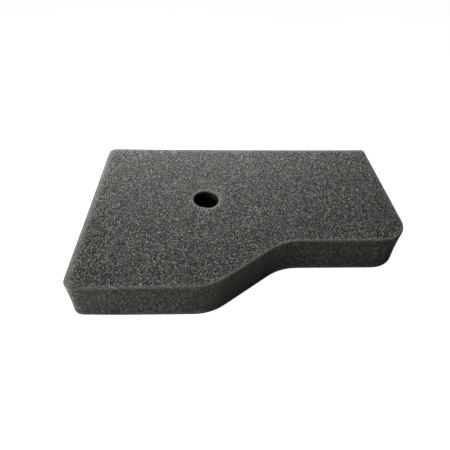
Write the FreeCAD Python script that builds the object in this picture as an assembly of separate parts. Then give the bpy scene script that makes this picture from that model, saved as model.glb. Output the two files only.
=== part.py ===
import FreeCAD, Part

import math
import os

# Foam air filter element for a small engine, die-cut from flat open-cell foam sheet.
#
# The element is one piece of foam. It lies flat in the engine's air box, the stud or
# boss of the air box comes up through its round hole, and the cover presses on its top.
#
# Units are millimetres. +Z is up, away from the face that the element lies on.
# +X runs along the length, and +Y points to the long straight back edge.
# The origin is on the underside, at the middle of the element's box.

# ---- driving dimensions ------------------------------------------------------------
LENGTH = 120.0              # along X, the straight back edge's overall length
WIDTH = 80.0                # along Y, at the wide left-hand end
THICKNESS = 15.0            # the foam sheet's own thickness

STEP_DEPTH = 20.0           # how much shallower the right-hand end is than the left
STEP_LEFT = 47.0            # from the left end to where the step leaves the front edge
STEP_RIGHT = 73.5           # from the left end to where the step meets the short end

BACK_LEFT_RADIUS = 3.0
BACK_RIGHT_RADIUS = 2.0
FRONT_RIGHT_RADIUS = 11.0
FRONT_LEFT_RADIUS = 4.0
STEP_OUTER_RADIUS = 18.0    # the convex round at the left end of the step
STEP_INNER_RADIUS = 19.0    # the concave round at the right end of the step

HOLE_DIAMETER = 10.0
HOLE_FROM_LEFT = 45.0
HOLE_FROM_FRONT = 43.5


def round_corner(before, corner, after, radius):
    """The arc of the given radius that rounds a corner, tangent to both its sides."""
    to_before = (before - corner).normalize()
    to_after = (after - corner).normalize()
    half_angle = to_before.getAngle(to_after) / 2.0
    setback = radius / math.tan(half_angle)
    middle = (to_before + to_after).normalize()
    centre = corner + middle * (radius / math.sin(half_angle))
    start = corner + to_before * setback
    end = corner + to_after * setback
    return Part.Arc(start, centre - middle * radius, end)


def outline_wire():
    """The element's plan outline on the underside, counter-clockwise from above."""
    left = -LENGTH / 2.0
    front = -WIDTH / 2.0
    corners = [
        (left, front, FRONT_LEFT_RADIUS),
        (left + STEP_LEFT, front, STEP_OUTER_RADIUS),
        (left + STEP_RIGHT, front + STEP_DEPTH, STEP_INNER_RADIUS),
        (left + LENGTH, front + STEP_DEPTH, FRONT_RIGHT_RADIUS),
        (left + LENGTH, front + WIDTH, BACK_RIGHT_RADIUS),
        (left, front + WIDTH, BACK_LEFT_RADIUS),
    ]
    points = [FreeCAD.Vector(x, y, 0.0) for x, y, _ in corners]
    rounds = []
    for index, corner in enumerate(points):
        radius = corners[index][2]
        before = points[index - 1]
        after = points[(index + 1) % len(points)]
        rounds.append(round_corner(before, corner, after, radius))
    edges = []
    for index, arc in enumerate(rounds):
        following = rounds[(index + 1) % len(rounds)]
        edges.append(arc.toShape())
        edges.append(Part.LineSegment(arc.EndPoint, following.StartPoint).toShape())
    return Part.Wire(edges)


def foam_element():
    """The foam sheet's thickness, cut to the outline, with the round hole through it."""
    sheet = Part.Face(outline_wire()).extrude(FreeCAD.Vector(0.0, 0.0, THICKNESS))
    hole_x = HOLE_FROM_LEFT - LENGTH / 2.0
    hole_y = HOLE_FROM_FRONT - WIDTH / 2.0
    overrun = 1.0
    punch = Part.makeCylinder(
        HOLE_DIAMETER / 2.0,
        THICKNESS + 2.0 * overrun,
        FreeCAD.Vector(hole_x, hole_y, -overrun),
    )
    return sheet.cut(punch)


def main():
    os.makedirs("parts", exist_ok=True)
    nodes = {"foam_element": foam_element()}
    for name, shape in nodes.items():
        solid = shape.Solids[0]
        box = solid.BoundBox
        print(name, "valid", solid.isValid(), "solids", len(shape.Solids))
        print("  box", box.XMin, box.XMax, box.YMin, box.YMax, box.ZMin, box.ZMax)
        print("  volume cm3", round(solid.Volume / 1000.0, 3))
        solid.exportStep(os.path.join("parts", name + ".step"))


main()
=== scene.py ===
import math

import bmesh
import bpy
import numpy as np
from bpy.props import FloatProperty, FloatVectorProperty, PointerProperty
from mathutils import Euler, Matrix, Vector


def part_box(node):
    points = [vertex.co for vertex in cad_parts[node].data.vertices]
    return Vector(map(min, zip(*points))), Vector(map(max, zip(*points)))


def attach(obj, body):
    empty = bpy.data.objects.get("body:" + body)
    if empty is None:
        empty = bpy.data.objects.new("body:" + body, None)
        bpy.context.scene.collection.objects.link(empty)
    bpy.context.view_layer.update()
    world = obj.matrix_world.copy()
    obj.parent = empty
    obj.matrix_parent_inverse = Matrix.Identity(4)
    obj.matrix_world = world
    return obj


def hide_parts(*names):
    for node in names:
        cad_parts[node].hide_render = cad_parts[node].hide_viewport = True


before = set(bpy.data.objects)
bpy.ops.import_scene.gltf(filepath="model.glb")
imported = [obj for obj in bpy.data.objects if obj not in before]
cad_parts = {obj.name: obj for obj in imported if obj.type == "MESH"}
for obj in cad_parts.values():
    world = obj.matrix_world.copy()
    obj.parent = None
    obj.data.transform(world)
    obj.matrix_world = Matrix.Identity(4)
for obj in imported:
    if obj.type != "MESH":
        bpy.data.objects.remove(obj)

bl_info = {
    "name": "Foam air filter element",
    "version": (1, 0, 0),
    "blender": (4, 5, 0),
    "location": "3D View > Sidebar > Foam filter",
    "description": "A die-cut foam filter element for a small engine, and a plain stage to see it on",
    "category": "Object",
}

NODE = "foam_element"
SHEET_LOW, SHEET_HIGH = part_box(NODE)
SIZE = SHEET_HIGH - SHEET_LOW
SHEET_MIDDLE = (SHEET_LOW + SHEET_HIGH) / 2.0

# The values that the mesh keeps at each point for the finish to read.
CELL_PLACE = "cell_place"
PAINTED_LIGHT_SHARE = "painted_light_share"
WALL_SHARE = "wall_share"
TURNED_SHARE = "turned_share"
BORE_SHARE = "bore_share"

# The spacing of the points along an outline, in metres, and how many times the outline is
# smoothed.
RIM_STEP = 0.0004
RIM_SMOOTHINGS = 3

# The upright part of a normal from which a face is the top, and how near two corners are when
# they are the same, in metres.
TOP_NORMAL = 0.9
SAME_PLACE = 1e-6

# How many rings of points make the lower round, the wall and the top round. The wall's count
# takes in the two ends that it shares with the rounds.
LOW_RINGS = 6
WALL_RINGS = 12
TOP_RINGS = 9

# Ways that the outline faces, as x and y: where its top edge relaxed, where the hole is rubbed
# open, and the front corner with a painted highlight all the way down.
RELAXED_SIDE = (-0.8, 0.6)
RUBBED_SIDE = (-0.95, 0.31)
HIGHLIGHT_CORNER = (-0.84, -0.54)

# How squarely an outline faces one of those ways where the relaxing starts and is full.
RELAXED_SPAN = (0.0, 0.6)
RUBBED_SPAN = (0.1, 0.8)

# How squarely an outline faces an end or the back where it starts to be on it and is all on it.
SIDE_SPAN = (0.4, 0.8)

# Where the back edge's bow and swell begin, and how far the curled corner reaches along and
# across, all as parts of the sheet.
BOW_FROM = 0.75
SWELL_FROM = 0.93
CURL_ALONG = 0.09
CURL_ACROSS = 0.35

# Each edge's painted light, which stands for the glow and highlights along the lit edges: its reach
# as a part of the Pale edge reach setting, and how pale it is at the most.
PAINTED_LIGHT_EDGES = {
    "end_rims": (1.0, 1.0),
    "back_rims": (0.9, 0.9),
    "rubbed_rims": (0.9, 0.7),
    "top_rims": (0.55, 0.55),
    "low_rims": (0.55, 0.45),
    "post": (1.5, 0.6),
}

# How much painted light a point has where the edge has its full effect on the pores and the grain.
PALE_ENOUGH = 0.6

# How far under the top face the painted light starts to fade and has faded, in metres, at the relaxed
# edges and at the crisp ones, and how much of it stays below a relaxed edge. None of it stays
# below a crisp one.
RELAXED_FADE = (0.0003, 0.0011)
CRISP_FADE = (0.0001, 0.0006)
RELAXED_REST = 0.2

# How far outside the hole's radius the bore's painted shade starts to fade and is gone, in metres,
# and how far from the sheet's middle it starts and is full, as parts of the thickness.
BORE_FADE = (0.0006, 0.0010)
BORE_ENDS = (0.5, 0.43)

# Between which upright parts of a normal a face stops being top and is all wall, and between
# which parts along the length a wall becomes a turned one.
UPRIGHT_NORMAL = (0.85, 0.45)
ALONG_NORMAL = (0.2, 0.5)

# How far from its cell's edge a pore starts and is at its full depth, and how far from that edge
# a strut ends and is full, both as parts of a cell.
BOWL = (0.03, 0.40)
STRUT = (0.22, 0.04)

# The deepest and shallowest pore beside the Pore depth setting, then how much of that depth is
# left at an edge and on the walls, and how far an edge makes the pores shallow, in metres.
PORE_DEPTHS = (1.4, 0.5)
EDGE_PORES = 0.3
WALL_PORES = 0.6
SHALLOW_REACH = 0.0006

# How light the finish is on the whole, and the lightest that any speck may be.
FOAM_LEVEL = 0.4
LIGHTEST = 3.0

# How light the cells are, as a base and a swing, and how light the foam is off and on a strut; the
# darker foam off the struts is partly painted shade down in the pores.
CELL_TINT = (0.4, 1.1)
STRUT_TINT = (0.85, 1.35)

# The specks: their size as a part of the pore size, how few of them glint, and how light they
# are, as a base and a swing.
SPECK_SIZE = 0.45
SPECK_POWER = 5.0
SPECK_TINT = (0.05, 5.7)

# The values of the noise that make the darkest and the lightest cloud, and how dark and light
# those are.
CLOUD_NOISE = (0.3, 0.7)
CLOUD_TINT = (0.94, 1.06)

# Roughness in the hollows and on the struts, and the size and height of the struts' crumbs as
# parts of the pore size.
ROUGHNESS = (0.95, 0.7)
CRUMB_SIZE = 0.4
CRUMB_HEIGHT = 0.25

# How much lighter the painted light makes the palest edge than plain foam, and how much darker
# the painted shade makes the bore.
PAINTED_LIGHT_LIFT = 2.2
BORE_PAINTED_SHADE = 0.85

# How strongly the grain shows on the walls, on turned walls and at the palest edges. A turned
# wall is one that doesn't face straight to the front or back: the slanting one and both ends.
# Where two of these meet, they are multiplied.
WALL_GRAIN = 0.7
TURNED_GRAIN = 0.5
PALE_GRAIN = 0.25

# How much lighter than plain foam a turned wall is at its bottom and at its top: painted shade low
# down and painted light towards the top.
TURNED_PAINTED_SHADE_LOW = -0.3
TURNED_PAINTED_LIGHT_HIGH = 0.8


# ---- settings ------------------------------------------------------------------------


class FoamSizes(bpy.types.PropertyGroup):
    """Sizes of the foam's cut edges and of its pores"""

    pitch: FloatProperty(
        name="Mesh pitch",
        description="Spacing of the finished mesh's points",
        default=0.0002,
        min=0.0001,
        unit="LENGTH",
    )
    pore: FloatProperty(
        name="Pore size",
        description="Average distance from one pore to the next",
        default=0.0005,
        min=0.0003,
        unit="LENGTH",
    )
    pore_depth: FloatProperty(
        name="Pore depth",
        description="How deep the cut-open pores go below the struts",
        default=0.00018,
        min=0.0,
        unit="LENGTH",
    )
    strut_stand: FloatProperty(
        name="Strut height",
        description="How far the strut tips stand above the cut face",
        default=0.0001,
        min=0.0,
        unit="LENGTH",
    )
    crisp_round: FloatProperty(
        name="Crisp edge round",
        description="Radius of the edges that the die left sharp",
        default=0.0003,
        min=0.0,
        unit="LENGTH",
    )
    soft_round: FloatProperty(
        name="Soft edge round",
        description="Radius of the relaxed top edge along the back and the wide end",
        default=0.0010,
        min=0.0,
        unit="LENGTH",
    )
    hole_wear: FloatProperty(
        name="Hole wear",
        description="How far the rubbed side of the hole has opened",
        default=0.0003,
        min=0.0,
        unit="LENGTH",
    )
    wall_hollow: FloatProperty(
        name="Wall hollow",
        description="How far the cut walls pull in half-way up",
        default=0.0002,
        min=0.0,
        unit="LENGTH",
    )
    back_bow: FloatProperty(
        name="Back edge bow",
        description="How far the middle of the long back edge pulls in",
        default=0.00045,
        min=0.0,
        unit="LENGTH",
    )
    back_swell: FloatProperty(
        name="Back edge swell",
        description="How far the long back edge stands out, relaxed after the cut",
        default=0.0005,
        min=0.0,
        unit="LENGTH",
    )
    corner_lift: FloatProperty(
        name="Corner lift",
        description="How far the front corner of the wide end curls up",
        default=0.0005,
        min=0.0,
        unit="LENGTH",
    )
    # The paleness is painted light along the lit top edges.
    painted_light_reach: FloatProperty(
        name="Pale edge reach",
        description="How far the paleness of the relaxed edges reaches into the top",
        default=0.0021,
        min=0.0005,
        unit="LENGTH",
    )
    mottle: FloatProperty(
        name="Mottle size",
        description="Size of the faint clouds in the foam's colour",
        default=0.01,
        min=0.001,
        unit="LENGTH",
    )


class FoamColours(bpy.types.PropertyGroup):
    """Colours and finish of the foam"""

    strut: FloatVectorProperty(
        name="Struts",
        description="Colour of the struts between the pores",
        default=(0.262, 0.265, 0.238),
        min=0.0,
        max=1.0,
        subtype="COLOR",
    )
    # The darkness down in the pores is painted shade.
    pore_shade: FloatVectorProperty(
        name="Hollows",
        description="Colour down in the pores",
        default=(0.008, 0.008, 0.008),
        min=0.0,
        max=1.0,
        subtype="COLOR",
    )
    wall_tint: FloatVectorProperty(
        name="Wall tint",
        description="What the cut walls' colour is multiplied by",
        default=(1.05, 0.98, 0.96),
        min=0.0,
        max=2.0,
        subtype="COLOR",
    )


class StageSettings(bpy.types.PropertyGroup):
    """The floor, the lights and the camera"""

    floor_size: FloatProperty(
        name="Floor size",
        description="Side of the square floor",
        default=3.0,
        min=0.5,
        unit="LENGTH",
    )
    camera_place: FloatVectorProperty(
        name="Camera place",
        description="Where the camera stands, from the middle of the element's underside",
        default=(-0.0127, -0.1104, 0.1107),
        subtype="TRANSLATION",
        unit="LENGTH",
    )
    camera_pitch: FloatProperty(
        name="Camera pitch",
        description="How far the camera looks down",
        default=math.radians(44.0),
        subtype="ANGLE",
    )
    camera_yaw: FloatProperty(
        name="Camera yaw",
        description="How far the camera turns to its right",
        default=math.radians(2.9),
        subtype="ANGLE",
    )
    camera_roll: FloatProperty(
        name="Camera roll",
        description="How far the camera tips to its left",
        default=math.radians(1.85),
        subtype="ANGLE",
    )
    camera_lens: FloatProperty(
        name="Camera lens",
        description="Focal length in millimetres on a 36 mm sensor",
        default=29.65,
        min=1.0,
    )


# ---- the element's shape -------------------------------------------------------------


def rim_loops(solid):
    """The outlines of the solid's top face, as arrays of x, y points with the foam on their left."""
    mesh = bmesh.new()
    mesh.from_mesh(solid.data)
    bmesh.ops.remove_doubles(mesh, verts=mesh.verts, dist=SAME_PLACE)
    mesh.normal_update()
    following = {}
    for face in mesh.faces:
        if face.normal.z < TOP_NORMAL:
            continue
        for loop in face.loops:
            other = loop.link_loop_radial_next.face
            if other.normal.z < TOP_NORMAL:
                following[loop.vert] = loop.link_loop_next.vert
    loops = []
    while following:
        vert, after = following.popitem()
        points = [vert.co.xy[:]]
        while after in following:
            points.append(after.co.xy[:])
            after = following.pop(after)
        loops.append(np.array(points))
    mesh.free()
    return loops


def even_points(loop, step):
    """The closed outline with evenly spaced points, and its facets smoothed away."""
    closed = np.vstack([loop, loop[:1]])
    along = np.concatenate([[0.0], np.cumsum(np.linalg.norm(np.diff(closed, axis=0), axis=1))])
    count = int(round(along[-1] / step))
    at = np.arange(count) * along[-1] / count
    points = np.stack([np.interp(at, along, closed[:, axis]) for axis in (0, 1)], axis=1)
    for _ in range(RIM_SMOOTHINGS):
        points = (np.roll(points, 1, axis=0) + 2.0 * points + np.roll(points, -1, axis=0)) / 4.0
    return points


def outward(points):
    """The direction away from the foam at each point of an outline."""
    along = np.roll(points, -1, axis=0) - np.roll(points, 1, axis=0)
    across = np.stack([along[:, 1], -along[:, 0]], axis=1)
    return across / np.linalg.norm(across, axis=1)[:, None]


def smooth_step(low, high, value):
    """Rises smoothly from 0 at low to 1 at high."""
    part = np.clip((value - low) / (high - low), 0.0, 1.0)
    return part * part * (3.0 - 2.0 * part)


def is_hole(loop):
    """Whether the outline goes round a hole, with the foam outside it."""
    following = np.roll(loop, -1, axis=0)
    return np.sum(loop[:, 0] * following[:, 1] - loop[:, 1] * following[:, 0]) < 0.0


def facing(away, direction, start, full):
    """How far each part of an outline faces the direction, from 0 at start to 1 at full."""
    return smooth_step(start, full, away @ np.array(direction))


def relaxed_share(away, hole):
    """How far the top edge has relaxed: at the back, at the wide end and on one side of the hole."""
    if hole:
        return facing(away, RUBBED_SIDE, *RUBBED_SPAN)
    return facing(away, RELAXED_SIDE, *RELAXED_SPAN)


def everywhere(away, hole):
    """Every part of every outline."""
    return np.ones(len(away), bool)


def at_wide_end(away, hole):
    """The parts of the outer outline that face out of the wide end."""
    return np.logical_and(not hole, facing(away, (-1.0, 0.0), *SIDE_SPAN) > 0.5)


def at_back(away, hole):
    """The parts of the outer outline that face the back."""
    return np.logical_and(not hole, facing(away, (0.0, 1.0), *SIDE_SPAN) > 0.5)


def at_rubbed_side(away, hole):
    """The parts of the hole's outline that are rubbed open."""
    return np.logical_and(hole, relaxed_share(away, hole) > 0.5)


def edge_rings(points, sizes, hole):
    """The rings of points up one wall, from the underside over both rounded edges to the top."""
    away = outward(points)
    relaxed = relaxed_share(away, hole)
    top = sizes.crisp_round + (sizes.soft_round - sizes.crisp_round) * relaxed
    low = np.full(len(points), sizes.crisp_round)
    rings = []
    for turn in np.linspace(-math.pi / 2.0, 0.0, LOW_RINGS):
        rings.append((low * (1.0 - math.cos(turn)), low * (1.0 + math.sin(turn))))
    for up in np.linspace(0.0, 1.0, WALL_RINGS)[1:-1]:
        height = low + up * (SIZE.z - top - low)
        rings.append((sizes.wall_hollow * math.sin(math.pi * up) * np.ones(len(points)), height))
    for turn in np.linspace(0.0, math.pi / 2.0, TOP_RINGS):
        rings.append((top * (1.0 - math.cos(turn)), SIZE.z - top + top * math.sin(turn)))
    if hole:
        points = points - away * (sizes.hole_wear * relaxed)[:, None]
    placed = []
    for inset, height in rings:
        flat = points - away * inset[:, None]
        placed.append(np.column_stack([flat, height + SHEET_LOW.z]))
    return placed


def cut_sheet(sizes):
    """The sheet cut to its outline as one closed mesh, with its edges rounded."""
    mesh = bmesh.new()
    lowest = []
    highest = []
    for loop in rim_loops(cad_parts[NODE]):
        points = even_points(loop, RIM_STEP)
        rings = []
        for ring in edge_rings(points, sizes, is_hole(loop)):
            rings.append([mesh.verts.new(place) for place in ring])
        count = len(points)
        for below, above in zip(rings, rings[1:]):
            for i in range(count):
                j = (i + 1) % count
                mesh.faces.new((below[i], below[j], above[j], above[i]))
        for verts, edges in ((rings[0], lowest), (rings[-1], highest)):
            for i in range(count):
                edges.append(mesh.edges.get((verts[i], verts[(i + 1) % count])))
    bmesh.ops.triangle_fill(mesh, use_beauty=False, use_dissolve=False, edges=highest)
    bmesh.ops.triangle_fill(mesh, use_beauty=False, use_dissolve=False, edges=lowest)
    bmesh.ops.recalc_face_normals(mesh, faces=mesh.faces)
    data = bpy.data.meshes.new("cut_sheet")
    mesh.to_mesh(data)
    mesh.free()
    return data


def applied(piece):
    """The piece's mesh becomes what its modifiers make of it."""
    made = bpy.data.meshes.new_from_object(
        piece.evaluated_get(bpy.context.evaluated_depsgraph_get())
    )
    piece.modifiers.clear()
    before = piece.data
    piece.data = made
    bpy.data.meshes.remove(before)


def remesh(piece, pitch):
    """An even mesh fine enough for pores."""
    even = piece.modifiers.new("even_mesh", "REMESH")
    even.mode = "VOXEL"
    even.voxel_size = pitch
    applied(piece)


def relax(piece, sizes):
    """The small ways in which soft foam leaves its cut shape."""
    count = len(piece.data.vertices)
    places = np.empty(count * 3, np.float32)
    piece.data.vertices.foreach_get("co", places)
    places = places.reshape(-1, 3).astype(float)
    x = (places[:, 0] - SHEET_LOW.x) / SIZE.x
    y = (places[:, 1] - SHEET_LOW.y) / SIZE.y
    places[:, 1] -= sizes.back_bow * smooth_step(BOW_FROM, 1.0, y) * 4.0 * x * (1.0 - x)
    places[:, 1] += sizes.back_swell * smooth_step(SWELL_FROM, 1.0, y)
    near_corner = np.exp(-((x / CURL_ALONG) ** 2 + (y / CURL_ACROSS) ** 2))
    places[:, 2] += sizes.corner_lift * near_corner
    piece.data.vertices.foreach_set("co", places.astype(np.float32).ravel())
    piece.data.update()


# ---- pores ---------------------------------------------------------------------------


def link_all(tree, pairs):
    """Links each output to its input."""
    for source, target in pairs:
        tree.links.new(source, target)


def rim_wire(name, pick, heights):
    """The sharp outlines at the heights as bare edges, where pick says so of the way they face."""
    places = []
    edges = []
    for loop in rim_loops(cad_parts[NODE]):
        points = even_points(loop, RIM_STEP)
        wanted = pick(outward(points), is_hole(loop))
        count = len(points)
        for height in heights:
            first = len(places)
            places.extend((x, y, height) for x, y in points)
            edges.extend((first + i, first + (i + 1) % count) for i in range(count) if wanted[i])
    data = bpy.data.meshes.new(name)
    data.from_pydata(places, edges, [])
    wire = bpy.data.objects.new(name, data)
    bpy.context.collection.objects.link(wire)
    return wire


def corner_post(name):
    """The line up the wall where the outline faces the corner with the painted highlight, as a bare
    edge.
    """
    outline = next(loop for loop in rim_loops(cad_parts[NODE]) if not is_hole(loop))
    points = even_points(outline, RIM_STEP)
    x, y = points[np.argmax(outward(points) @ np.array(HIGHLIGHT_CORNER))]
    data = bpy.data.meshes.new(name)
    data.from_pydata([(x, y, SHEET_LOW.z), (x, y, SHEET_HIGH.z)], [(0, 1)], [])
    post = bpy.data.objects.new(name, data)
    bpy.context.collection.objects.link(post)
    return post


def math_node(nodes, operation, *values):
    """A Math node; a value of None is left for a link."""
    node = nodes.new("ShaderNodeMath")
    node.operation = operation
    for socket, value in zip(node.inputs, values):
        if value is not None:
            socket.default_value = value
    return node


def map_range(nodes, low, high, to_low=0.0, to_high=1.0, smooth=True):
    """Turns values from low to high into values from to_low to to_high."""
    node = nodes.new("ShaderNodeMapRange")
    node.interpolation_type = "SMOOTHSTEP" if smooth else "LINEAR"
    node.inputs["From Min"].default_value = low
    node.inputs["From Max"].default_value = high
    node.inputs["To Min"].default_value = to_low
    node.inputs["To Max"].default_value = to_high
    return node


def voronoi(nodes, feature, size):
    """Cells of the given average size."""
    node = nodes.new("ShaderNodeTexVoronoi")
    node.feature = feature
    node.inputs["Scale"].default_value = 1.0 / size
    return node


def keep_attribute(nodes, name, kind):
    """Stores a value at each point of the mesh."""
    keep = nodes.new("GeometryNodeStoreNamedAttribute")
    keep.data_type = kind
    keep.domain = "POINT"
    keep.inputs["Name"].default_value = name
    return keep


def distance_to(tree, wire):
    """The distance from each point to the nearest edge of the wire."""
    rim = tree.nodes.new("GeometryNodeObjectInfo")
    rim.inputs["Object"].default_value = wire
    near = tree.nodes.new("GeometryNodeProximity")
    near.target_element = "EDGES"
    tree.links.new(rim.outputs["Geometry"], near.inputs["Target"])
    return near.outputs["Distance"]


def bore_circle():
    """The middle and the radius of the round hole."""
    for loop in rim_loops(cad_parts[NODE]):
        if is_hole(loop):
            middle = loop.mean(axis=0)
            return middle, np.linalg.norm(loop - middle, axis=1).mean()
    raise ValueError("the element has no hole")


def bore_share(tree, place, wall):
    """How far each point is down in the bore, from 0 at its ends to 1, where the bore's painted shade
    falls.
    """
    nodes = tree.nodes
    middle, radius = bore_circle()
    flat = nodes.new("ShaderNodeVectorMath")
    flat.operation = "MULTIPLY"
    flat.inputs[1].default_value = (1.0, 1.0, 0.0)
    from_axis = nodes.new("ShaderNodeVectorMath")
    from_axis.operation = "DISTANCE"
    from_axis.inputs[1].default_value = (middle[0], middle[1], 0.0)
    beside = map_range(nodes, radius + BORE_FADE[1], radius + BORE_FADE[0])
    parts = nodes.new("ShaderNodeSeparateXYZ")
    from_middle = math_node(nodes, "SUBTRACT", None, SHEET_MIDDLE.z)
    off_middle = math_node(nodes, "ABSOLUTE")
    down = map_range(nodes, SIZE.z * BORE_ENDS[0], SIZE.z * BORE_ENDS[1])
    on_wall = math_node(nodes, "MULTIPLY")
    share = math_node(nodes, "MULTIPLY")
    link_all(tree, (
        (place, flat.inputs[0]),
        (flat.outputs["Vector"], from_axis.inputs[0]),
        (from_axis.outputs["Value"], beside.inputs["Value"]),
        (place, parts.inputs["Vector"]),
        (parts.outputs["Z"], from_middle.inputs[0]),
        (from_middle.outputs["Value"], off_middle.inputs[0]),
        (off_middle.outputs["Value"], down.inputs["Value"]),
        (beside.outputs["Result"], on_wall.inputs[0]),
        (wall, on_wall.inputs[1]),
        (on_wall.outputs["Value"], share.inputs[0]),
        (down.outputs["Result"], share.inputs[1]),
    ))
    return share.outputs["Value"]


def fading(tree, distance, reach, most):
    """Falls from most at no distance to next to nothing past the reach."""
    share = math_node(tree.nodes, "DIVIDE", None, reach)
    square = math_node(tree.nodes, "MULTIPLY")
    down = math_node(tree.nodes, "MULTIPLY", None, -1.0)
    curve = math_node(tree.nodes, "EXPONENT")
    scaled = math_node(tree.nodes, "MULTIPLY", None, most)
    link_all(tree, (
        (distance, share.inputs[0]),
        (share.outputs["Value"], square.inputs[0]),
        (share.outputs["Value"], square.inputs[1]),
        (square.outputs["Value"], down.inputs[0]),
        (down.outputs["Value"], curve.inputs[0]),
        (curve.outputs["Value"], scaled.inputs[0]),
    ))
    return scaled.outputs["Value"]


def largest(tree, values):
    """The largest of several values at each point."""
    most = values[0]
    for value in values[1:]:
        node = math_node(tree.nodes, "MAXIMUM")
        tree.links.new(most, node.inputs[0])
        tree.links.new(value, node.inputs[1])
        most = node.outputs["Value"]
    return most


def painted_edge_light(tree, place, sizes, wires):
    """How much painted light the nearest lit edge puts on each point, from 0 to 1."""
    nodes = tree.nodes

    def near(name):
        reach, most = PAINTED_LIGHT_EDGES[name]
        return fading(tree, distance_to(tree, wires[name]), sizes.painted_light_reach * reach, most)

    relaxed = largest(tree, [near(name) for name in ("end_rims", "back_rims", "rubbed_rims")])
    parts = nodes.new("ShaderNodeSeparateXYZ")
    top = SHEET_HIGH.z
    relaxed_low, relaxed_high = top - RELAXED_FADE[1], top - RELAXED_FADE[0]
    below_relaxed = map_range(nodes, relaxed_low, relaxed_high, RELAXED_REST, 1.0)
    below_crisp = map_range(nodes, top - CRISP_FADE[1], top - CRISP_FADE[0])
    soft_edge_highlight = math_node(nodes, "MULTIPLY")
    crisp_edge_highlight = math_node(nodes, "MULTIPLY")
    link_all(tree, (
        (place, parts.inputs["Vector"]),
        (parts.outputs["Z"], below_relaxed.inputs["Value"]),
        (parts.outputs["Z"], below_crisp.inputs["Value"]),
        (relaxed, soft_edge_highlight.inputs[0]),
        (below_relaxed.outputs["Result"], soft_edge_highlight.inputs[1]),
        (near("top_rims"), crisp_edge_highlight.inputs[0]),
        (below_crisp.outputs["Result"], crisp_edge_highlight.inputs[1]),
    ))
    over_edges = (soft_edge_highlight.outputs["Value"], crisp_edge_highlight.outputs["Value"])
    return largest(tree, (*over_edges, near("post"), near("low_rims")))


def wall_shares(tree, normal):
    """How far each point is on a cut wall, and how far on a turned one."""
    nodes = tree.nodes
    parts = nodes.new("ShaderNodeSeparateXYZ")
    upright = math_node(nodes, "ABSOLUTE")
    wall = map_range(nodes, *UPRIGHT_NORMAL)
    sideways = math_node(nodes, "ABSOLUTE")
    facing_along = map_range(nodes, *ALONG_NORMAL)
    turned = math_node(nodes, "MULTIPLY")
    link_all(tree, (
        (normal, parts.inputs["Vector"]),
        (parts.outputs["Z"], upright.inputs[0]),
        (upright.outputs["Value"], wall.inputs["Value"]),
        (parts.outputs["X"], sideways.inputs[0]),
        (sideways.outputs["Value"], facing_along.inputs["Value"]),
        (facing_along.outputs["Result"], turned.inputs[0]),
        (wall.outputs["Result"], turned.inputs[1]),
    ))
    return wall.outputs["Result"], turned.outputs["Value"]


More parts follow.
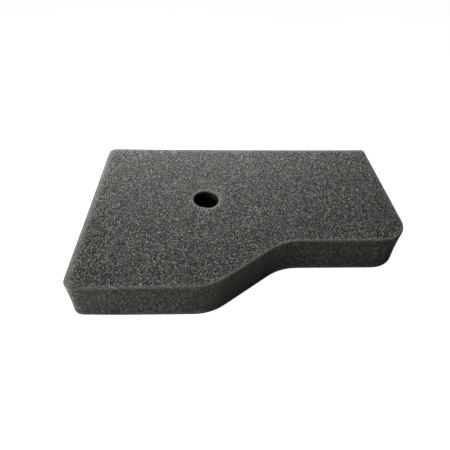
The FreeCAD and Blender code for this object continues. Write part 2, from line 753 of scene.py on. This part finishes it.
def pore_relief(sizes, wires):
    """Geometry nodes that sink the pores between the struts.

    They also store what the finish needs at each point: its place before the pores were
    sunk, how much painted light the nearest lit edge puts on it, how far it is on a cut wall and
    on a turned one, and how far it is down the bore.
    """
    tree = bpy.data.node_groups.new("pore_relief", "GeometryNodeTree")
    tree.interface.new_socket("Geometry", in_out="INPUT", socket_type="NodeSocketGeometry")
    tree.interface.new_socket("Geometry", in_out="OUTPUT", socket_type="NodeSocketGeometry")
    nodes = tree.nodes
    entry = nodes.new("NodeGroupInput")
    leave = nodes.new("NodeGroupOutput")
    place = nodes.new("GeometryNodeInputPosition").outputs["Position"]
    normal = nodes.new("GeometryNodeInputNormal").outputs["Normal"]
    rim = distance_to(tree, wires["rims"])
    pale = painted_edge_light(tree, place, sizes, wires)
    wall, turned = wall_shares(tree, normal)
    kept = (
        (CELL_PLACE, "FLOAT_VECTOR", place),
        (PAINTED_LIGHT_SHARE, "FLOAT", pale),
        (WALL_SHARE, "FLOAT", wall),
        (TURNED_SHARE, "FLOAT", turned),
        (BORE_SHARE, "FLOAT", bore_share(tree, place, wall)),
    )
    geometry = entry.outputs["Geometry"]
    for name, kind, value in kept:
        keep = keep_attribute(nodes, name, kind)
        tree.links.new(geometry, keep.inputs["Geometry"])
        tree.links.new(value, keep.inputs["Value"])
        geometry = keep.outputs["Geometry"]

    edge = voronoi(nodes, "DISTANCE_TO_EDGE", sizes.pore)
    cell = voronoi(nodes, "F1", sizes.pore)
    split = nodes.new("ShaderNodeSeparateXYZ")
    bowl = map_range(nodes, *BOWL)
    deep = map_range(nodes, 0.0, 1.0, *PORE_DEPTHS, smooth=False)
    depth = math_node(nodes, "MULTIPLY")
    at_rim = map_range(nodes, 0.0, SHALLOW_REACH, EDGE_PORES, 1.0)
    at_soft_rim = map_range(nodes, 0.0, PALE_ENOUGH, 1.0, EDGE_PORES)
    on_wall = map_range(nodes, 0.0, 1.0, 1.0, WALL_PORES)
    by_rim = math_node(nodes, "MULTIPLY")
    by_soft_rim = math_node(nodes, "MULTIPLY")
    by_wall = math_node(nodes, "MULTIPLY")
    rise = math_node(nodes, "MULTIPLY_ADD", None, -sizes.pore_depth, sizes.strut_stand)
    shift = nodes.new("ShaderNodeVectorMath")
    shift.operation = "SCALE"
    move = nodes.new("GeometryNodeSetPosition")
    link_all(tree, (
        (place, edge.inputs["Vector"]),
        (place, cell.inputs["Vector"]),
        (edge.outputs["Distance"], bowl.inputs["Value"]),
        (cell.outputs["Color"], split.inputs["Vector"]),
        (split.outputs["X"], deep.inputs["Value"]),
        (bowl.outputs["Result"], depth.inputs[0]),
        (deep.outputs["Result"], depth.inputs[1]),
        (rim, at_rim.inputs["Value"]),
        (pale, at_soft_rim.inputs["Value"]),
        (wall, on_wall.inputs["Value"]),
        (depth.outputs["Value"], by_rim.inputs[0]),
        (at_rim.outputs["Result"], by_rim.inputs[1]),
        (by_rim.outputs["Value"], by_soft_rim.inputs[0]),
        (at_soft_rim.outputs["Result"], by_soft_rim.inputs[1]),
        (by_soft_rim.outputs["Value"], by_wall.inputs[0]),
        (on_wall.outputs["Result"], by_wall.inputs[1]),
        (by_wall.outputs["Value"], rise.inputs[0]),
        (normal, shift.inputs["Vector"]),
        (rise.outputs["Value"], shift.inputs["Scale"]),
        (geometry, move.inputs["Geometry"]),
        (shift.outputs["Vector"], move.inputs["Offset"]),
        (move.outputs["Geometry"], leave.inputs["Geometry"]),
    ))
    return tree


# ---- finish --------------------------------------------------------------------------


def attribute(nodes, name):
    """Reads a value stored at each point of the mesh."""
    node = nodes.new("ShaderNodeAttribute")
    node.attribute_name = name
    return node


def foam_grain(tree, place, sizes):
    """How light the grain makes each point, and how near a strut is."""
    nodes = tree.nodes
    edge = voronoi(nodes, "DISTANCE_TO_EDGE", sizes.pore)
    cell = voronoi(nodes, "F1", sizes.pore)
    fine = voronoi(nodes, "F1", sizes.pore * SPECK_SIZE)
    glint = math_node(nodes, "POWER", None, SPECK_POWER)
    split = nodes.new("ShaderNodeSeparateColor")
    split_fine = nodes.new("ShaderNodeSeparateColor")
    strut = map_range(nodes, *STRUT)
    ridge = map_range(nodes, 0.0, 1.0, *STRUT_TINT, smooth=False)
    tint = math_node(nodes, "MULTIPLY_ADD", None, CELL_TINT[1], CELL_TINT[0])
    speck = math_node(nodes, "MULTIPLY_ADD", None, SPECK_TINT[1], SPECK_TINT[0])
    with_ridge = math_node(nodes, "MULTIPLY")
    grain = math_node(nodes, "MULTIPLY")
    link_all(tree, (
        (place, edge.inputs["Vector"]),
        (place, cell.inputs["Vector"]),
        (place, fine.inputs["Vector"]),
        (edge.outputs["Distance"], strut.inputs["Value"]),
        (strut.outputs["Result"], ridge.inputs["Value"]),
        (cell.outputs["Color"], split.inputs["Color"]),
        (split.outputs["Red"], tint.inputs[0]),
        (fine.outputs["Color"], split_fine.inputs["Color"]),
        (split_fine.outputs["Green"], glint.inputs[0]),
        (glint.outputs["Value"], speck.inputs[0]),
        (tint.outputs["Value"], with_ridge.inputs[0]),
        (ridge.outputs["Result"], with_ridge.inputs[1]),
        (with_ridge.outputs["Value"], grain.inputs[0]),
        (speck.outputs["Value"], grain.inputs[1]),
    ))
    return grain.outputs["Value"], strut.outputs["Result"]


def painted_rim_light(tree):
    """How much lighter the painted light makes the foam near its lit rims, and how much darker the
    painted shade makes it down in the bore.
    """
    nodes = tree.nodes
    pale = attribute(nodes, PAINTED_LIGHT_SHARE)
    bore = attribute(nodes, BORE_SHARE)
    lift = math_node(nodes, "MULTIPLY_ADD", None, PAINTED_LIGHT_LIFT, 1.0)
    # Painted shade down in the bore.
    bore_shade = math_node(nodes, "MULTIPLY_ADD", None, -BORE_PAINTED_SHADE, 1.0)
    both = math_node(nodes, "MULTIPLY")
    link_all(tree, (
        (pale.outputs["Fac"], lift.inputs[0]),
        (bore.outputs["Fac"], bore_shade.inputs[0]),
        (lift.outputs["Value"], both.inputs[0]),
        (bore_shade.outputs["Value"], both.inputs[1]),
    ))
    return both.outputs["Value"]


def grain_strength(tree, wall, turned):
    """How strongly the grain shows: less on the cut walls, on turned ones and at pale edges."""
    nodes = tree.nodes
    pale = attribute(nodes, PAINTED_LIGHT_SHARE)
    on_wall = map_range(nodes, 0.0, 1.0, 1.0, WALL_GRAIN)
    on_turned = map_range(nodes, 0.0, 1.0, 1.0, TURNED_GRAIN)
    at_rim = map_range(nodes, 0.0, PALE_ENOUGH, 1.0, PALE_GRAIN)
    walls = math_node(nodes, "MULTIPLY")
    both = math_node(nodes, "MULTIPLY")
    link_all(tree, (
        (wall, on_wall.inputs["Value"]),
        (turned, on_turned.inputs["Value"]),
        (pale.outputs["Fac"], at_rim.inputs["Value"]),
        (on_wall.outputs["Result"], walls.inputs[0]),
        (on_turned.outputs["Result"], walls.inputs[1]),
        (walls.outputs["Value"], both.inputs[0]),
        (at_rim.outputs["Result"], both.inputs[1]),
    ))
    return both.outputs["Value"]


def painted_turned_wall_shade(tree, place, turned):
    """How light a turned wall is beside plain foam: painted shade below and painted light towards the
    top.
    """
    nodes = tree.nodes
    parts = nodes.new("ShaderNodeSeparateXYZ")
    up = map_range(nodes, SHEET_LOW.z, SHEET_HIGH.z, TURNED_PAINTED_SHADE_LOW, TURNED_PAINTED_LIGHT_HIGH, smooth=False)
    light = math_node(nodes, "MULTIPLY_ADD", None, None, 1.0)
    link_all(tree, (
        (place, parts.inputs["Vector"]),
        (parts.outputs["Z"], up.inputs["Value"]),
        (turned, light.inputs[0]),
        (up.outputs["Result"], light.inputs[1]),
    ))
    return light.outputs["Value"]


def foam_material(sizes, colours):
    """Charcoal open-cell foam: light struts, hollows darkened by painted shade, and cells of uneven
    tint.
    """
    material = bpy.data.materials.new("charcoal_foam")
    material.use_nodes = True
    tree = material.node_tree
    nodes = tree.nodes
    shader = nodes["Principled BSDF"]
    place = attribute(nodes, CELL_PLACE).outputs["Vector"]
    wall = attribute(nodes, WALL_SHARE).outputs["Fac"]
    turned = attribute(nodes, TURNED_SHARE).outputs["Fac"]
    grain, strut = foam_grain(tree, place, sizes)
    # Painted light along the lit edges, and painted shade down in the bore.
    rims = painted_rim_light(tree)
    strength = grain_strength(tree, wall, turned)
    swing = math_node(nodes, "SUBTRACT", None, 1.0)
    shade = math_node(nodes, "MULTIPLY_ADD", None, None, 1.0)
    clouds = nodes.new("ShaderNodeTexNoise")
    clouds.inputs["Scale"].default_value = 1.0 / sizes.mottle
    cloudy = map_range(nodes, *CLOUD_NOISE, *CLOUD_TINT)
    mottled = math_node(nodes, "MULTIPLY")
    with_painted_rims = math_node(nodes, "MULTIPLY")
    with_painted_wall_shade = math_node(nodes, "MULTIPLY")
    level = math_node(nodes, "MULTIPLY", None, FOAM_LEVEL)
    held = math_node(nodes, "MINIMUM", None, LIGHTEST)
    colour = nodes.new("ShaderNodeMix")
    colour.data_type = "RGBA"
    colour.clamp_factor = False
    colour.inputs[6].default_value = (*colours.pore_shade, 1.0)
    colour.inputs[7].default_value = (*colours.strut, 1.0)
    warm = nodes.new("ShaderNodeMix")
    warm.data_type = "RGBA"
    warm.inputs[6].default_value = (1.0, 1.0, 1.0, 1.0)
    warm.inputs[7].default_value = (*colours.wall_tint, 1.0)
    tinted = nodes.new("ShaderNodeVectorMath")
    tinted.operation = "MULTIPLY"
    link_all(tree, (
        (grain, swing.inputs[0]),
        (swing.outputs["Value"], shade.inputs[0]),
        (strength, shade.inputs[1]),
        (place, clouds.inputs["Vector"]),
        (clouds.outputs["Fac"], cloudy.inputs["Value"]),
        (shade.outputs["Value"], mottled.inputs[0]),
        (cloudy.outputs["Result"], mottled.inputs[1]),
        (mottled.outputs["Value"], with_painted_rims.inputs[0]),
        (rims, with_painted_rims.inputs[1]),
        (with_painted_rims.outputs["Value"], with_painted_wall_shade.inputs[0]),
        (painted_turned_wall_shade(tree, place, turned), with_painted_wall_shade.inputs[1]),
        (with_painted_wall_shade.outputs["Value"], level.inputs[0]),
        (level.outputs["Value"], held.inputs[0]),
        (held.outputs["Value"], colour.inputs[0]),
        (wall, warm.inputs[0]),
        (colour.outputs[2], tinted.inputs[0]),
        (warm.outputs[2], tinted.inputs[1]),
        (tinted.outputs["Vector"], shader.inputs["Base Color"]),
    ))

    rough = map_range(nodes, 0.0, 1.0, *ROUGHNESS)
    crumbs = nodes.new("ShaderNodeTexNoise")
    crumbs.inputs["Scale"].default_value = 1.0 / (sizes.pore * CRUMB_SIZE)
    height = math_node(nodes, "ADD")
    bump = nodes.new("ShaderNodeBump")
    bump.inputs["Distance"].default_value = sizes.pore * CRUMB_HEIGHT
    bump.inputs["Strength"].default_value = 0.6
    link_all(tree, (
        (strut, rough.inputs["Value"]),
        (rough.outputs["Result"], shader.inputs["Roughness"]),
        (place, crumbs.inputs["Vector"]),
        (strut, height.inputs[0]),
        (crumbs.outputs["Fac"], height.inputs[1]),
        (height.outputs["Value"], bump.inputs["Height"]),
        (bump.outputs["Normal"], shader.inputs["Normal"]),
    ))
    shader.inputs["Specular IOR Level"].default_value = 0.3
    shader.inputs["Sheen Weight"].default_value = 0.1
    shader.inputs["Sheen Roughness"].default_value = 0.5
    return material


class FOAM_OT_element(bpy.types.Operator):
    """Cut the foam element from its sheet, open its pores and give it its finish"""

    bl_idname = "foam.element"
    bl_label = "Foam element"

    def execute(self, context):
        sizes = context.scene.foam_sizes
        colours = context.scene.foam_colours
        piece = bpy.data.objects.new("foam_pad", cut_sheet(sizes))
        context.collection.objects.link(piece)
        remesh(piece, sizes.pitch)
        relax(piece, sizes)
        low = SHEET_LOW.z
        high = SHEET_HIGH.z
        # The rims wire makes the pores shallow at every edge; the other wires and the post mark the
        # edges where light is painted.
        wires = {
            "rims": rim_wire("rims", everywhere, (low, high)),
            "top_rims": rim_wire("top_rims", everywhere, (high,)),
            "low_rims": rim_wire("low_rims", everywhere, (low,)),
            "end_rims": rim_wire("end_rims", at_wide_end, (high,)),
            "back_rims": rim_wire("back_rims", at_back, (high,)),
            "rubbed_rims": rim_wire("rubbed_rims", at_rubbed_side, (high,)),
            "post": corner_post("post"),
        }
        pores = piece.modifiers.new("pores", "NODES")
        pores.node_group = pore_relief(sizes, wires)
        applied(piece)
        for wire in wires.values():
            bpy.data.objects.remove(wire)
        piece.data.shade_smooth()
        piece.data.materials.clear()
        piece.data.materials.append(foam_material(sizes, colours))
        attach(piece, "root")
        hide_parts(NODE)
        return {"FINISHED"}


# ---- the stage -----------------------------------------------------------------------


# How bright the floor's own evenness is to the camera, where 1 is white.
FLOOR_GLOW = 0.98

# Each light's name, azimuth and elevation in degrees, distance and width in metres, and watts.
# Azimuth 0 is behind the element, and 90 is at its narrow end.
STUDIO_LIGHTS = (
    ("back_light", 0.0, 25.0, 0.20, 0.12, 0.40),
    ("back_left_light", -30.0, 25.0, 0.20, 0.12, 0.20),
    ("left_light", -90.0, 25.0, 0.20, 0.12, 0.06),
    ("front_left_light", -120.0, 12.0, 0.40, 0.20, 0.38),
    ("front_light", -150.0, 10.0, 0.20, 0.12, 0.06),
)


def soft_light(name, azimuth, elevation, distance, width, power):
    """A soft square light, turned to the element."""
    flat = math.cos(elevation)
    place = Vector((math.sin(azimuth) * flat, math.cos(azimuth) * flat, math.sin(elevation))) * distance
    data = bpy.data.lights.new(name, "AREA")
    data.shape = "SQUARE"
    data.size = width
    data.energy = power
    light = bpy.data.objects.new(name, data)
    light.location = place
    light.rotation_mode = "QUATERNION"
    light.rotation_quaternion = (SHEET_MIDDLE - place).to_track_quat("-Z", "Y")
    light.visible_camera = False
    bpy.context.collection.objects.link(light)


def stage_floor(size):
    """A pale floor that looks evenly white and throws the lights back up at the walls.

    The evenness is light of its own that only the camera sees.
    """
    half = size / 2.0
    data = bpy.data.meshes.new("floor")
    corners = [(-half, -half, 0.0), (half, -half, 0.0), (half, half, 0.0), (-half, half, 0.0)]
    data.from_pydata(corners, [], [(0, 1, 2, 3)])
    floor = bpy.data.objects.new("floor", data)
    bpy.context.collection.objects.link(floor)
    material = bpy.data.materials.new("pale_floor")
    material.use_nodes = True
    nodes = material.node_tree.nodes
    plain = nodes["Principled BSDF"]
    plain.inputs["Base Color"].default_value = (0.8, 0.8, 0.8, 1.0)
    plain.inputs["Roughness"].default_value = 1.0
    plain.inputs["Specular IOR Level"].default_value = 0.0
    plain.inputs["Emission Color"].default_value = (1.0, 1.0, 1.0, 1.0)
    ray = nodes.new("ShaderNodeLightPath")
    seen = map_range(nodes, 0.0, 1.0, 0.0, FLOOR_GLOW, smooth=False)
    link_all(material.node_tree, (
        (ray.outputs["Is Camera Ray"], seen.inputs["Value"]),
        (seen.outputs["Result"], plain.inputs["Emission Strength"]),
    ))
    data.materials.append(material)
    return floor


def pale_room():
    """A world that looks white and lights nothing."""
    world = bpy.data.worlds.new("pale_room")
    world.use_nodes = True
    nodes = world.node_tree.nodes
    back = nodes["Background"]
    back.inputs["Color"].default_value = (1.0, 1.0, 1.0, 1.0)
    ray = nodes.new("ShaderNodeLightPath")
    world.node_tree.links.new(ray.outputs["Is Camera Ray"], back.inputs["Strength"])
    return world


class FOAM_OT_stage(bpy.types.Operator):
    """Set the element on a plain pale floor under soft light, with a camera"""

    bl_idname = "foam.stage"
    bl_label = "Stage"

    def execute(self, context):
        settings = context.scene.foam_stage
        stage_floor(settings.floor_size)
        for name, azimuth, elevation, distance, width, power in STUDIO_LIGHTS:
            soft_light(name, math.radians(azimuth), math.radians(elevation), distance, width, power)
        context.scene.world = pale_room()

        camera_data = bpy.data.cameras.new("camera")
        camera_data.lens = settings.camera_lens
        camera_data.sensor_width = 36.0
        camera_data.clip_start = 0.005
        camera = bpy.data.objects.new("camera", camera_data)
        camera.location = settings.camera_place
        aim = Euler((math.pi / 2.0 - settings.camera_pitch, 0.0, -settings.camera_yaw))
        camera.rotation_mode = "QUATERNION"
        camera.rotation_quaternion = (
            aim.to_matrix() @ Matrix.Rotation(settings.camera_roll, 3, "Z")
        ).to_quaternion()
        context.collection.objects.link(camera)
        context.scene.camera = camera
        context.scene.view_settings.view_transform = "Standard"
        return {"FINISHED"}


class FOAM_PT_panel(bpy.types.Panel):
    """Lists the makers of the foam element and its stage"""

    bl_label = "Foam filter"
    bl_idname = "FOAM_PT_panel"
    bl_space_type = "VIEW_3D"
    bl_region_type = "UI"
    bl_category = "Foam filter"

    def draw(self, context):
        for maker in (FOAM_OT_element, FOAM_OT_stage):
            self.layout.operator(maker.bl_idname)


CLASSES = (FoamSizes, FoamColours, StageSettings, FOAM_OT_element, FOAM_OT_stage, FOAM_PT_panel)


def register():
    for item in CLASSES:
        bpy.utils.register_class(item)
    bpy.types.Scene.foam_sizes = PointerProperty(type=FoamSizes)
    bpy.types.Scene.foam_colours = PointerProperty(type=FoamColours)
    bpy.types.Scene.foam_stage = PointerProperty(type=StageSettings)


def unregister():
    del bpy.types.Scene.foam_stage
    del bpy.types.Scene.foam_colours
    del bpy.types.Scene.foam_sizes
    for item in reversed(CLASSES):
        bpy.utils.unregister_class(item)


def main():
    register()
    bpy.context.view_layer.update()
    bpy.ops.foam.element()
    bpy.ops.foam.stage()


if __name__ == "__main__":
    main()
